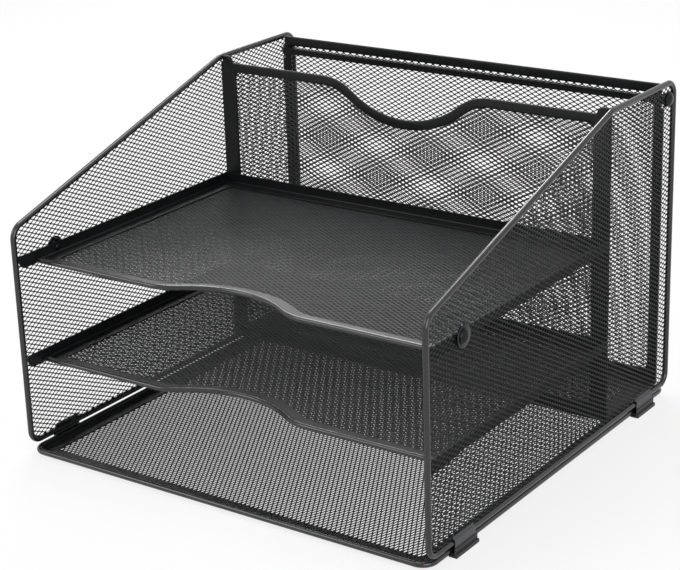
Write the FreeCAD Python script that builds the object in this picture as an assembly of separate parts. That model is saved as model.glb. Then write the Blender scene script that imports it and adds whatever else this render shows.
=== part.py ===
import FreeCAD, Part
import math
import os

# Envelope sorter with a drawer: two side frames of bent rod filled with expanded metal,
# two letter trays, an upright file compartment behind a divider, and a shallow drawer
# that slides below the side frames on four sheet clips.
# Millimetres. +X is right, the open front faces -Y and +Z is up. The origin is on the
# table, midway between the side frames and midway between the front and rear posts.
# A name that ends in rise is a height above the centreline of the bottom rail, and one
# that ends in setback is a distance behind the centreline of the front posts.

# Side frames, one closed loop of bent rod on each side
frame_span = 316.0
frame_depth = 311.0
rail_rise = 218.0
front_post_rise = 150.5
rail_bend_lead = 1.0
rod_diameter = 4.0
bottom_bend_radius = 8.0
front_bend_radius = 10.0
rail_bend_radius = 18.0
rear_bend_radius = 9.0

# Expanded metal, with its diamonds drawn larger than the 6 mm by 3.6 mm of the real net
mesh_thickness = 0.9
diamond_long_way = 66.0
diamond_short_way = 38.4
strand_width = 6.0
edge_strand = 1.6
smallest_opening_share = 0.35

# Sheet steel of the panel borders
sheet_thickness = 0.8
sheet_bend_radius = 1.2
hem_thickness = 1.8
hem_grip = 3.0
floor_lap = 4.0
window_corner_radius = 4.0
panel_gap = 0.3

# File compartment, from the middle of the divider to the middle of the back panel
file_depth = 75.0

# Divider between the trays and the file compartment
divider_drop = 3.3
divider_side_strip = 13.0
divider_rim = 6.8
divider_foot_strip = 10.0
ear_width = 9.0
ear_rise = 1.5
ear_corner_radius = 4.6
divider_scoop_half_width = 67.0
divider_scoop_depth = 23.5
divider_shoulder_radius = 37.0

# Back panel ahead of the rear posts, and the bar that ties the side frames together
back_lead = 13.0
back_rise = 218.5
back_side_strip = 7.4
back_rim = 6.9
back_foot_strip = 10.5
bar_top_rise = 210.3
bar_height = 5.2
bar_shelf_depth = 4.0
tab_end_radius = 4.8
tab_screw_lead = 7.4
tab_screw_rise = 206.9
tab_root_length = 5.0
tab_rounding_share = 0.98

# Letter trays
top_tray_rise = 123.8
middle_tray_rise = 54.0
tray_front_setback = 17.0
tray_flange_height = 7.7
tray_side_border = 11.0
tray_front_border = 10.0
tray_rear_border = 10.0
tray_wire_diameter = 3.5
tray_wire_drop = 0.05
tray_scoop_half_width = 60.0
tray_scoop_depth = 18.0
tray_shoulder_radius = 34.0
lobe_drop = 1.2
lobe_radius = 6.0
lobe_length = 20.0
lobe_rear_radius = 1.8

# Floor of the file compartment
rear_floor_rise = 5.0
rear_floor_border = 10.0

# Drawer, a rim wire with a shallow dished pan inside it
drawer_wire_diameter = 3.8
drawer_side_inset = 1.0
drawer_end_inset = 0.2
drawer_corner_radius = 9.0
drawer_dish_depth = 2.4
drawer_dish_taper = 2.4
drawer_border = 7.0
drawer_top_clearance = 1.2
drawer_bottom_clearance = 0.2

# Clips that hang the drawer below the side frames, and their feet
clip_thickness = 0.6
clip_length = 23.0
clip_setback = 36.8
clip_rise = 4.0
clip_bend_radius = 1.0
clip_leg_reach = 1.0
clip_joggle_height = 2.0
foot_length = 25.5
foot_pad_thickness = 1.2
foot_wall_thickness = 0.6
foot_wall_height = 6.0
foot_lip_thickness = 1.3
foot_lip_height = 2.6
foot_edge_radius = 0.5
foot_toe_inset = 0.3

# Fasteners
shank_diameter = 4.0
head_diameter = 10.4
head_height = 2.6
head_edge_height = 0.8
crown_share = 0.55
washer_diameter = 14.6
washer_thickness = 1.2
nut_across_flats = 7.0
nut_thickness = 3.0
shank_end_length = 0.8
bore_clearance = 0.2
thread_clearance = 0.05
tray_screw_setback = 38.8
tray_screw_height = 3.9

# Overrun of every cutting solid past the faces that it cuts
overrun = 2.0

# Greatest distance of a rod's straight spans from the arc that they stand in for
bend_sagitta = 0.25
mitred_corners = 1

# Flat sides that a round section is drawn with, each touching the circle
rod_sides = 12
fastener_sides = 16

# Two arcs of an outline meet directly where the run between them is shorter than this
shortest_run = 0.001

# Places worked out from the sizes above
rod_radius = rod_diameter / 2
wire_radius = drawer_wire_diameter / 2
tray_wire_radius = tray_wire_diameter / 2
tray_wire_height = tray_wire_radius - tray_wire_drop
tray_wire_seat = math.sqrt(tray_wire_radius**2 - (tray_wire_height - sheet_thickness) ** 2)
half_span = frame_span / 2
front_y = -frame_depth / 2
leg_bottom_z = foot_pad_thickness
leg_top_z = leg_bottom_z + clip_thickness
drawer_z = leg_top_z + drawer_bottom_clearance + wire_radius
bottom_rail_z = drawer_z + wire_radius + drawer_top_clearance + rod_radius
inner_face_x = half_span - mesh_thickness / 2
outer_face_x = half_span + mesh_thickness / 2
back_y = front_y + frame_depth - back_lead
divider_y = back_y - file_depth
ear_end_x = half_span - rod_radius
tray_front_y = front_y + tray_front_setback
tray_rear_y = divider_y - hem_thickness / 2
bar_y = back_y - hem_thickness / 2 - sheet_thickness / 2
tray_screw_z = bottom_rail_z + top_tray_rise + tray_screw_height
top_tray_z = bottom_rail_z + top_tray_rise
middle_tray_z = bottom_rail_z + middle_tray_rise
rear_floor_z = bottom_rail_z + rear_floor_rise
drawer_floor_z = drawer_z - drawer_dish_depth
bar_bottom_z = bottom_rail_z + bar_top_rise - bar_height
tray_screw_y = front_y + tray_screw_setback
tab_screw_y = front_y + frame_depth - tab_screw_lead
tab_screw_z = bottom_rail_z + tab_screw_rise
front_clip_y = front_y + clip_setback
rear_clip_y = front_y + frame_depth - clip_setback
tab_screw_length = mesh_thickness + sheet_thickness + nut_thickness + shank_end_length
tray_screw_length = washer_thickness + mesh_thickness + sheet_thickness + shank_end_length
nut_x = inner_face_x - sheet_thickness


def point(x, y):
    """A point of a flat outline."""
    return FreeCAD.Vector(x, y, 0)


def bend_at(corners, i, radius):
    """Start, middle, end and centre of the tangent arc at a corner of a flat path."""
    corner = corners[i]
    back = (corners[i - 1] - corner).normalize()
    ahead = (corners[(i + 1) % len(corners)] - corner).normalize()
    half_angle = back.getAngle(ahead) / 2
    run = radius / math.tan(half_angle)
    centre = corner + (back + ahead).normalize() * (radius / math.sin(half_angle))
    middle = centre + (corner - centre).normalize() * radius
    return corner + back * run, middle, corner + ahead * run, centre


def rounded_wire(corners, radii, closed=True):
    """Straight runs through the corners, joined by tangent arcs of the given radii."""
    count = len(corners)
    starts = list(corners)
    ends = list(corners)
    edges = []
    arcs = {}
    for i, radius in enumerate(radii):
        if radius > 0:
            starts[i], middle, ends[i], _ = bend_at(corners, i, radius)
            arcs[i] = Part.Arc(starts[i], middle, ends[i]).toShape()
    for i in range(count):
        if i in arcs:
            edges.append(arcs[i])
        last = not closed and i == count - 1
        start, end = ends[i], starts[(i + 1) % count]
        if not last and start.distanceToPoint(end) > shortest_run:
            edges.append(Part.LineSegment(start, end).toShape())
    return Part.Wire(edges)


def side_normals(corners, closed):
    """Unit normals to the left of each run of a flat path."""
    count = len(corners)
    runs = count if closed else count - 1
    normals = []
    for i in range(runs):
        along = (corners[(i + 1) % count] - corners[i]).normalize()
        normals.append(point(-along.y, along.x))
    return normals


def offset_corners(corners, distance, closed=True):
    """The corners of a flat path moved sideways by the distance, to the left of it."""
    normals = side_normals(corners, closed)
    moved = []
    for i, corner in enumerate(corners):
        before = normals[i - 1] if closed or i > 0 else normals[0]
        after = normals[i] if i < len(normals) else normals[-1]
        moved.append(corner + (before + after) * (distance / (1 + before.dot(after))))
    return moved


def strip_face(corners, radii, thickness):
    """Cross-section of a bent sheet whose middle line runs through the corners."""
    normals = side_normals(corners, False)
    turns = [0] * len(corners)
    for i in range(1, len(corners) - 1):
        turns[i] = math.copysign(1, normals[i - 1].cross(normals[i]).z)
    half = thickness / 2
    left_radii = [r - turn * half if r else 0 for r, turn in zip(radii, turns)]
    right_radii = [r + turn * half if r else 0 for r, turn in zip(radii, turns)]
    left = rounded_wire(offset_corners(corners, half, False), left_radii, False)
    right = rounded_wire(offset_corners(corners, -half, False), right_radii, False)
    left_ends = offset_corners(corners, half, False)
    right_ends = offset_corners(corners, -half, False)
    first = Part.LineSegment(left_ends[0], right_ends[0]).toShape()
    last = Part.LineSegment(left_ends[-1], right_ends[-1]).toShape()
    loop = Part.sortEdges(left.Edges + right.Edges + [first, last])[0]
    return Part.Face(Part.Wire(loop))


def slab(outline, thickness):
    """A flat sheet over an outline or face, half its thickness to each side of the plane."""
    face = outline if outline.ShapeType == "Face" else Part.Face(outline)
    solid = face.extrude(FreeCAD.Vector(0, 0, thickness))
    solid.translate(FreeCAD.Vector(0, 0, -thickness / 2))
    return solid


def stand_along(shape, x):
    """Turn a flat shape so that its plane faces sideways: its x runs back, its y up."""
    shape.rotate(FreeCAD.Vector(0, 0, 0), FreeCAD.Vector(1, 1, 1), 120)
    shape.translate(FreeCAD.Vector(x, 0, 0))
    return shape


def stand_across(shape, y):
    """Turn a flat shape so that its plane faces the front: its x stays, its y runs up."""
    shape.rotate(FreeCAD.Vector(0, 0, 0), FreeCAD.Vector(1, 0, 0), 90)
    shape.translate(FreeCAD.Vector(0, y, 0))
    return shape


def lift(shape, z):
    """Raise a shape that lies flat."""
    shape.translate(FreeCAD.Vector(0, 0, z))
    return shape


def mirrored(shape):
    """The same piece on the other side of the part."""
    return shape.mirror(FreeCAD.Vector(0, 0, 0), FreeCAD.Vector(1, 0, 0))


def turned(vector, angle):
    """A flat vector turned to the left by an angle in radians."""
    cosine, sine = math.cos(angle), math.sin(angle)
    return point(vector.x * cosine - vector.y * sine, vector.x * sine + vector.y * cosine)


def span_points(corners, i, radius):
    """Corners of the short straight spans that stand in for an arc of a rod's path.

    They lie on the right of the path, clear of the sheet that the rod carries on its left.
    """
    start, _, end, centre = bend_at(corners, i, radius)
    first, last = start - centre, end - centre
    angle = first.getAngle(last)
    spans = math.ceil(angle / (2 * math.acos(1 - bend_sagitta / radius)))
    if first.cross(last).z < 0:
        return [centre + turned(first, -angle * k / spans) for k in range(spans + 1)]
    stretch = 1 / math.cos(angle / spans / 2)
    return [
        centre + turned(first, angle * (k + 0.5) / spans) * stretch for k in range(spans)
    ]


def flat_sided_circle(sides, radius, centre, across, up):
    """Polygon about a circle, two of its sides square to each of the two unit vectors."""
    reach = radius / math.cos(math.pi / sides)
    corners = []
    for i in range(sides):
        angle = (2 * i + 1) * math.pi / sides
        corners.append(centre + across * (reach * math.cos(angle)) + up * (reach * math.sin(angle)))
    return Part.makePolygon(corners + corners[:1])


def flat_sided_hole(radius, centre):
    """Outline of a round hole for a fastener in a flat shape."""
    return flat_sided_circle(fastener_sides, radius, centre, point(1, 0), point(0, 1))


def bent_rod(corners, radii, rod, closed=True):
    """Round rod of a given radius along a flat path, its arcs in short mitred spans."""
    points = []
    for i, radius in enumerate(radii):
        points += span_points(corners, i, radius) if radius > 0 else [corners[i]]
    if closed:
        start = (points[0] + points[-1]) / 2
        points = [start] + points + [start]
    along = (points[1] - points[0]).normalize()
    up = FreeCAD.Vector(0, 0, 1)
    section = flat_sided_circle(rod_sides, rod, points[0], point(-along.y, along.x), up)
    sweep = Part.BRepOffsetAPI.MakePipeShell(Part.makePolygon(points))
    sweep.setTransitionMode(mitred_corners)
    sweep.add(section)
    sweep.build()
    sweep.makeSolid()
    return sweep.shape()


def diamond(centre):
    """One opening of the expanded metal, the net's cell less half a strand all round."""
    half_long = diamond_long_way / 2
    half_short = diamond_short_way / 2
    inradius = half_long * half_short / math.hypot(half_long, half_short)
    share = 1 - strand_width / 2 / inradius
    corners = [
        centre + point(half_long * share, 0),
        centre + point(0, half_short * share),
        centre + point(-half_long * share, 0),
        centre + point(0, -half_short * share),
    ]
    return Part.Face(Part.makePolygon(corners + corners[:1]))


def diamond_centres(box):
    """Centres of the staggered rows that cover a box, counted from its middle."""
    middle = box.Center
    columns = math.ceil(box.XLength / diamond_long_way) + 1
    rows = math.ceil(box.YLength / diamond_short_way) + 1
    for row in range(-rows, rows + 1):
        stagger = row % 2 / 2
        for column in range(-columns, columns + 1):
            dx = (column + stagger) * diamond_long_way
            dy = row * diamond_short_way / 2
            yield point(middle.x + dx, middle.y + dy)


def net(outline, window, pads=()):
    """Expanded metal panel: one sheet over the outline, holed by diamonds in the window.

    Each pad is the centre of a screw. The strands under its washer are pressed together,
    and its shank has a hole.
    """
    clear = Part.Face(window)
    for centre in pads:
        clear = clear.cut(Part.Face(flat_sided_hole(washer_diameter / 2, centre)))
    whole_area = diamond(point(0, 0)).Area
    holes = []
    for centre in diamond_centres(clear.BoundBox):
        for opening in diamond(centre).common(clear).Faces:
            if opening.Area > smallest_opening_share * whole_area:
                holes.append(opening.OuterWire)
    shank_hole = shank_diameter / 2 + bore_clearance
    holes += [flat_sided_hole(shank_hole, centre) for centre in pads]
    return slab(Part.makeFace([outline] + holes, "Part::FaceMakerBullseye").Faces[0], mesh_thickness)


def side_loop_corners():
    """Corners of a side frame's centreline, front bottom first, as setback and height."""
    top_z = bottom_rail_z + rail_rise
    return [
        point(front_y, bottom_rail_z),
        point(front_y + frame_depth, bottom_rail_z),
        point(front_y + frame_depth, top_z),
        point(divider_y - rail_bend_lead, top_z),
        point(front_y, bottom_rail_z + front_post_rise),
    ]


def side_loop_radii(inset):
    """Bend radii of a side frame's centreline, less an inset towards the inside."""
    radii = [
        bottom_bend_radius,
        bottom_bend_radius,
        rear_bend_radius,
        rail_bend_radius,
        front_bend_radius,
    ]
    return [radius - inset for radius in radii]


def side_loop_wire(inset):
    """A line that lies inside a side frame's centreline by the inset."""
    return rounded_wire(offset_corners(side_loop_corners(), inset), side_loop_radii(inset))


def side_rod():
    """The right side frame's rod."""
    return stand_along(bent_rod(side_loop_corners(), side_loop_radii(0), rod_radius), half_span)


def side_mesh():
    """The right side frame's expanded metal, welded inside the rod."""
    tray_screw = point(tray_screw_y, tray_screw_z)
    tab_screw = point(tab_screw_y, tab_screw_z)
    outline = side_loop_wire(rod_radius)
    window = side_loop_wire(rod_radius + edge_strand)
    return stand_along(net(outline, window, [tray_screw, tab_screw]), half_span)


def scoop_corners(half_width, depth, shoulder_radius):
    """Corners and radii of a finger scoop in a straight edge at height 0, left to right.

    Two shoulder arcs meet the bottom arc tangentially, the half width is where a shoulder
    leaves the edge, and the depth is that of the bottom arc.
    """
    reach = (half_width**2 + depth**2) / (2 * depth)
    bottom_radius = reach - shoulder_radius
    slope = math.asin(half_width / reach)
    corner_x = half_width - shoulder_radius * math.tan(slope / 2)
    corners = [point(-corner_x, 0), point(0, -corner_x * math.tan(slope)), point(corner_x, 0)]
    return corners, [shoulder_radius, bottom_radius, shoulder_radius]


def divider_wire(side, rim, foot, corner_radius):
    """The divider's outline, or one that lies inside it by a side, a rim and a foot strip."""
    half_width = inner_face_x - side
    top_z = bottom_rail_z + rail_rise - divider_drop - rim
    foot_z = bottom_rail_z + rod_radius + panel_gap + foot
    scoop, scoop_radii = scoop_corners(
        divider_scoop_half_width, divider_scoop_depth, divider_shoulder_radius - rim
    )
    corners = [point(-half_width, foot_z), point(half_width, foot_z), point(half_width, top_z)]
    corners += [corner + point(0, top_z) for corner in reversed(scoop)]
    corners += [point(-half_width, top_z)]
    radii = [corner_radius] * 3 + scoop_radii + [corner_radius]
    return rounded_wire(corners, radii)


def divider_ear():
    """The lobe at the right end of the divider's top edge, welded beside the side rail."""
    foot_z = bottom_rail_z + rail_rise - divider_drop - divider_rim / 2
    ear_z = bottom_rail_z + rail_rise + ear_rise
    corners = [
        point(ear_end_x - ear_width, foot_z),
        point(ear_end_x, foot_z),
        point(ear_end_x, ear_z),
        point(ear_end_x - ear_width, ear_z),
    ]
    return rounded_wire(corners, [0, 0, 0, ear_corner_radius])


def divider_frame():
    """Folded steel border of the divider, with a groove that holds the mesh."""
    plate = slab(divider_wire(0, 0, 0, 0), hem_thickness)
    for ear in (slab(divider_ear(), hem_thickness), mirrored(slab(divider_ear(), hem_thickness))):
        plate = plate.fuse(ear)
    window = divider_wire(
        divider_side_strip, divider_rim, divider_foot_strip, window_corner_radius
    )
    frame = plate.cut(slab(window, hem_thickness + overrun))
    frame = frame.cut(slab(divider_groove(), mesh_thickness))
    return stand_across(frame.removeSplitter(), divider_y)


def divider_groove():
    """Outline of the divider's mesh, which reaches into the folded border."""
    return divider_wire(
        divider_side_strip - hem_grip,
        divider_rim - hem_grip,
        divider_foot_strip - hem_grip,
        window_corner_radius + hem_grip,
    )


def divider_mesh():
    """Expanded metal of the divider."""
    window = divider_wire(
        divider_side_strip, divider_rim, divider_foot_strip, window_corner_radius
    )
    return stand_across(net(divider_groove(), window), divider_y)


def back_wire(side, rim, foot, corner_radius):
    """The back panel's outline, or one inside it by a side strip, a rim and a foot strip."""
    half_width = inner_face_x - side
    foot_z = bottom_rail_z + rod_radius + panel_gap + foot
    top_z = bottom_rail_z + back_rise - rim
    corners = [
        point(-half_width, foot_z),
        point(half_width, foot_z),
        point(half_width, top_z),
        point(-half_width, top_z),
    ]
    return rounded_wire(corners, [corner_radius] * 4)


def back_groove():
    """Outline of the back panel's mesh, which reaches into the folded border."""
    return back_wire(
        back_side_strip - hem_grip,
        back_rim - hem_grip,
        back_foot_strip - hem_grip,
        window_corner_radius + hem_grip,
    )


def rail_notch():
    """What the right top corner leaves out for the side rail and the cross bar's tab."""
    narrow_x = half_span - rod_radius - panel_gap
    shoulder_z = tab_screw_z - tab_end_radius - panel_gap
    above_z = bottom_rail_z + back_rise + overrun
    corners = [
        point(narrow_x, shoulder_z),
        point(half_span, shoulder_z),
        point(half_span, above_z),
        point(narrow_x, above_z),
    ]
    return slab(Part.makePolygon(corners + corners[:1]), hem_thickness + overrun)


def back_frame():
    """Folded steel border of the back panel, with a groove that holds the mesh."""
    window = back_wire(back_side_strip, back_rim, back_foot_strip, window_corner_radius)
    frame = slab(back_wire(0, 0, 0, 0), hem_thickness).cut(slab(window, hem_thickness + overrun))
    frame = frame.cut([rail_notch(), mirrored(rail_notch()), slab(back_groove(), mesh_thickness)])
    return stand_across(frame, back_y)


def back_mesh():
    """Expanded metal of the back panel."""
    window = back_wire(back_side_strip, back_rim, back_foot_strip, window_corner_radius)
    return stand_across(net(back_groove(), window), back_y)


def bar_tab():
    """The right end tab of the cross bar, round about its screw."""
    root_y = tab_screw_y - tab_root_length
    corners = [
        point(root_y, tab_screw_z - tab_end_radius),
        point(tab_screw_y + tab_end_radius, tab_screw_z - tab_end_radius),
        point(tab_screw_y + tab_end_radius, tab_screw_z + tab_end_radius),
        point(root_y, tab_screw_z + tab_end_radius),
    ]
    nearly_full = tab_end_radius * tab_rounding_share
    outline = Part.Face(rounded_wire(corners, [0, nearly_full, nearly_full, 0]))
    hole = flat_sided_hole(shank_diameter / 2 + bore_clearance, point(tab_screw_y, tab_screw_z))
    plate = slab(outline.cut(Part.Face(hole)).Faces[0], sheet_thickness)
    return stand_along(plate, inner_face_x - sheet_thickness / 2)


def cross_bar():
    """Angle bar in front of the back panel, its ends bent back along the side meshes."""
    tab_x = inner_face_x - sheet_thickness / 2
    tab_root_y = tab_screw_y - tab_root_length
    middle_line = [
        point(-tab_x, tab_root_y),
        point(-tab_x, bar_y),
        point(tab_x, bar_y),
        point(tab_x, tab_root_y),
    ]
    face = strip_face(middle_line, [0, sheet_bend_radius, sheet_bend_radius, 0], sheet_thickness)
    web = lift(face.extrude(FreeCAD.Vector(0, 0, bar_height)), bar_bottom_z)
    shelf_half = tab_x - sheet_bend_radius
    shelf_front_y = bar_y + sheet_thickness / 2 - bar_shelf_depth
    shelf_z = bar_bottom_z + bar_height - sheet_thickness
    shelf = Part.makeBox(
        2 * shelf_half,
        bar_shelf_depth - sheet_thickness / 2,
        sheet_thickness,
        FreeCAD.Vector(-shelf_half, shelf_front_y, shelf_z),
    )
    return web.fuse([shelf, bar_tab(), mirrored(bar_tab())]).removeSplitter()


def tray_edge(border, corner_radius):
    """A tray's floor outline, or one that lies inside it by its borders.

    The border gives the side, front and rear strips. The front edge has the finger scoop,
    and the strip beside it keeps its width.
    """
    side, front, rear = border
    half_width = inner_face_x - side
    edge_y = tray_front_y + front
    rear_y = tray_rear_y - rear
    scoop, scoop_radii = scoop_corners(
        tray_scoop_half_width, tray_scoop_depth, tray_shoulder_radius - front
    )
    corners = [point(-half_width, rear_y), point(-half_width, edge_y)]
    corners += [point(corner.x, edge_y - corner.y) for corner in scoop]
    corners += [point(half_width, edge_y), point(half_width, rear_y)]
    radii = [corner_radius] * 2 + scoop_radii + [corner_radius] * 2
    return rounded_wire(corners, radii)


def tray_window():
    """The opening of a tray's floor that the mesh fills."""
    border = (tray_side_border, tray_front_border, tray_rear_border)
    return tray_edge(border, window_corner_radius)


def tray_mesh(level_z):
    """Expanded metal of a tray's floor, welded below the border."""
    border = (
        tray_side_border - floor_lap,
        tray_front_border - floor_lap,
        tray_rear_border - floor_lap,
    )
    outline = tray_edge(border, window_corner_radius + floor_lap)
    return lift(net(outline, tray_window()), level_z - mesh_thickness / 2)


def tray_front_wire(level_z):
    """Wire along the front edge of a tray, from one side flange to the other."""
    scoop, scoop_radii = scoop_corners(
        tray_scoop_half_width, tray_scoop_depth, tray_shoulder_radius
    )
    end_x = inner_face_x - sheet_thickness
    corners = [point(-end_x, tray_front_y)]
    corners += [point(corner.x, tray_front_y - corner.y) for corner in scoop]
    corners += [point(end_x, tray_front_y)]
    wire = bent_rod(corners, [0] + scoop_radii + [0], tray_wire_radius, False)
    return lift(wire, level_z + tray_wire_height)


def tray_lobe():
    """The right flange's front end, a rounded lobe that reaches forward to the post."""
    tip_y = front_y + rod_radius + panel_gap
    corners = [
        point(tip_y, -lobe_drop),
        point(tray_front_y + lobe_length - tray_front_setback, -lobe_drop),
        point(tray_front_y + lobe_length, 0),
        point(tray_front_y + lobe_length, tray_flange_height),
        point(tip_y, tray_flange_height),
    ]
    radii = [lobe_radius, lobe_rear_radius, 0, 0, lobe_rear_radius]
    plate = slab(rounded_wire(corners, radii), sheet_thickness)
    return stand_along(plate, inner_face_x - sheet_thickness / 2)


def tray_frame(level_z, screwed):
    """A tray's sheet border: floor strips, upturned flanges and the scooped front edge."""
    half_sheet = sheet_thickness / 2
    side_x = inner_face_x - half_sheet
    profile = strip_face(
        [
            point(-side_x, tray_flange_height),
            point(-side_x, half_sheet),
            point(side_x, half_sheet),
            point(side_x, tray_flange_height),
        ],
        [0, sheet_bend_radius, sheet_bend_radius, 0],
        sheet_thickness,
    )
    length = tray_rear_y - tray_front_y - tray_wire_seat
    frame = stand_across(profile.extrude(FreeCAD.Vector(0, 0, length)), tray_rear_y)
    rear_profile = strip_face(
        [
            point(tray_rear_y - tray_rear_border, half_sheet),
            point(tray_rear_y - half_sheet, half_sheet),
            point(tray_rear_y - half_sheet, tray_flange_height),
        ],
        [0, sheet_bend_radius, 0],
        sheet_thickness,
    )
    rear_half = side_x - sheet_bend_radius - half_sheet
    rear = stand_along(rear_profile.extrude(FreeCAD.Vector(0, 0, 2 * rear_half)), -rear_half)
    rear_cut = Part.makeBox(
        2 * rear_half,
        sheet_bend_radius + half_sheet,
        sheet_thickness + overrun,
        FreeCAD.Vector(-rear_half, tray_rear_y - sheet_bend_radius - half_sheet, -overrun / 2),
    )
    floor_height = sheet_thickness + 2 * overrun
    frame = frame.cut(rear_cut).fuse(rear)
    frame = frame.cut(slab(tray_window(), floor_height))
    frame = frame.cut(slab(tray_scoop_cut(), floor_height))
    frame = frame.fuse([tray_lobe(), mirrored(tray_lobe())])
    if screwed:
        hole = screw_bore(tray_screw_y, tray_screw_height)
        frame = frame.cut(hole)
    return lift(frame.removeSplitter(), level_z)


def tray_scoop_cut():
    """Outline of the piece that the finger scoop takes out of a tray's floor."""
    edge_y = tray_front_y + tray_wire_seat
    scoop, scoop_radii = scoop_corners(
        tray_scoop_half_width, tray_scoop_depth, tray_shoulder_radius - tray_wire_seat
    )
    clear_y = edge_y - overrun
    end_x = tray_scoop_half_width + overrun
    corners = [point(-end_x, clear_y), point(-end_x, edge_y)]
    corners += [point(corner.x, edge_y - corner.y) for corner in scoop]
    corners += [point(end_x, edge_y), point(end_x, clear_y)]
    return rounded_wire(corners, [0, 0] + scoop_radii + [0, 0])


def screw_bore(y, z):
    """A clearance hole for a shank, straight through from side to side."""
    hole = flat_sided_hole(shank_diameter / 2 + bore_clearance, point(y, z))
    return stand_along(slab(hole, frame_span), 0)


def rear_floor_front_y():
    """Where the file compartment's floor meets the divider."""
    return divider_y + hem_thickness / 2


def rear_floor_rear_y():
    """Where the file compartment's floor meets the back panel."""
    return back_y - hem_thickness / 2


def rear_floor_wire(border, corner_radius):
    """The file compartment's floor outline inside its edges by a border."""
    half_width = inner_face_x - border
    low_y = rear_floor_front_y() + border
    high_y = rear_floor_rear_y() - border
    corners = [
        point(-half_width, low_y),
        point(half_width, low_y),
        point(half_width, high_y),
        point(-half_width, high_y),
    ]
    return rounded_wire(corners, [corner_radius] * 4)


def rear_floor_frame():
    """Sheet border of the file compartment's floor, upturned at the front and rear."""
    half_sheet = sheet_thickness / 2
    front_line = rear_floor_front_y() + half_sheet
    rear_line = rear_floor_rear_y() - half_sheet
    profile = strip_face(
        [
            point(front_line, tray_flange_height),
            point(front_line, half_sheet),
            point(rear_line, half_sheet),
            point(rear_line, tray_flange_height),
        ],
        [0, sheet_bend_radius, sheet_bend_radius, 0],
        sheet_thickness,
    )
    frame = stand_along(profile.extrude(FreeCAD.Vector(0, 0, 2 * inner_face_x)), -inner_face_x)
    window = rear_floor_wire(rear_floor_border, window_corner_radius)
    frame = frame.cut(slab(window, sheet_thickness + 2 * overrun))
    return lift(frame, rear_floor_z)


def rear_floor_mesh():
    """Expanded metal of the file compartment's floor, welded below the border."""
    outline = rear_floor_wire(rear_floor_border - floor_lap, window_corner_radius + floor_lap)
    window = rear_floor_wire(rear_floor_border, window_corner_radius)
    return lift(net(outline, window), rear_floor_z - mesh_thickness / 2)


def drawer_corners(inset):
    """Corners of the drawer's rim centreline, or of a line inside it by the inset."""
    half_width = half_span - drawer_side_inset - inset
    half_length = frame_depth / 2 - drawer_end_inset - inset
    return [
        point(-half_width, -half_length),
        point(half_width, -half_length),
        point(half_width, half_length),
        point(-half_width, half_length),
    ]


def drawer_line(inset):
    """A line that lies inside the drawer's rim centreline by the inset."""
    return rounded_wire(drawer_corners(inset), [drawer_corner_radius - inset] * 4)


def drawer_rim():
    """Rim wire of the drawer, which slides on the clips' legs."""
    rim = bent_rod(drawer_corners(0), [drawer_corner_radius] * 4, wire_radius)
    return lift(rim, drawer_z)


def dish(top_inset, depth):
    """A shallow dish solid that narrows downwards from the height of the rim wire."""
    top = lift(drawer_line(top_inset), drawer_z)
    bottom = lift(drawer_line(top_inset + drawer_dish_taper), drawer_z - depth)
    return Part.makeLoft([top, bottom], True, True)


def drawer_pan():
    """Dished sheet border of the drawer, joined to the inside of the rim wire."""
    outer = dish(wire_radius, drawer_dish_depth)
    inner = dish(wire_radius + sheet_thickness, drawer_dish_depth - sheet_thickness)
    pan = outer.cut(inner)
    window = slab(drawer_window(), overrun + sheet_thickness)
    return pan.cut(lift(window, drawer_floor_z + sheet_thickness / 2))


def drawer_window():
    """The opening of the drawer's floor that the mesh fills."""
    inset = wire_radius + drawer_dish_taper + drawer_border
    return rounded_wire(drawer_corners(inset), [window_corner_radius] * 4)


def drawer_mesh():
    """Expanded metal of the drawer's floor, its long way running front to back."""
    turned_window = drawer_window()
    turned_window.rotate(FreeCAD.Vector(0, 0, 0), FreeCAD.Vector(0, 0, 1), 90)
    outline = turned_window.makeOffset2D(floor_lap)
    sheet = net(outline, turned_window)
    sheet.rotate(FreeCAD.Vector(0, 0, 0), FreeCAD.Vector(0, 0, 1), -90)
    return lift(sheet, drawer_floor_z - mesh_thickness / 2)


def clip(centre_y):
    """Right-hand clip: a sheet strip from the side mesh, round the rod, to under the rim."""
    half = clip_thickness / 2
    plate_x = half_span + rod_radius + half
    toe_x = half_span - drawer_side_inset - clip_leg_reach
    top_z = bottom_rail_z + clip_rise
    middle_line = [
        point(toe_x, leg_bottom_z + half),
        point(plate_x, leg_bottom_z + half),
        point(plate_x, top_z - clip_joggle_height),
        point(outer_face_x + half, top_z - clip_joggle_height / 2),
        point(outer_face_x + half, top_z),
    ]
    face = strip_face(middle_line, [0] + [clip_bend_radius] * 3 + [0], clip_thickness)
    return stand_across(face.extrude(FreeCAD.Vector(0, 0, clip_length)), centre_y + clip_length / 2)


def foot(centre_y):
    """Right-hand rubber foot: a pad below a clip, a wall up its outside and a lip."""
    plate_x = half_span + rod_radius + clip_thickness
    wall_x = plate_x + foot_wall_thickness
    toe_x = half_span - drawer_side_inset - clip_leg_reach + foot_toe_inset
    corners = [
        point(toe_x, 0),
        point(wall_x + foot_lip_thickness, 0),
        point(wall_x + foot_lip_thickness, foot_lip_height),
        point(wall_x, foot_lip_height),
        point(wall_x, foot_wall_height),
        point(plate_x, foot_wall_height),
        point(plate_x, leg_bottom_z),
        point(toe_x, leg_bottom_z),
    ]
    radii = [foot_edge_radius] * 3 + [0] * 5
    profile = Part.Face(rounded_wire(corners, radii))
    solid = profile.extrude(FreeCAD.Vector(0, 0, foot_length))
    return stand_across(solid, centre_y + foot_length / 2)


def round_disc(radius, low_x, high_x, high_radius):
    """Disc or frustum along X between two places, with a radius at each."""
    outlines = []
    for disc_radius, x in ((radius, low_x), (high_radius, high_x)):
        outlines.append(stand_along(flat_sided_hole(disc_radius, point(0, 0)), x))
    return Part.makeLoft(outlines, True, True)


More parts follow.
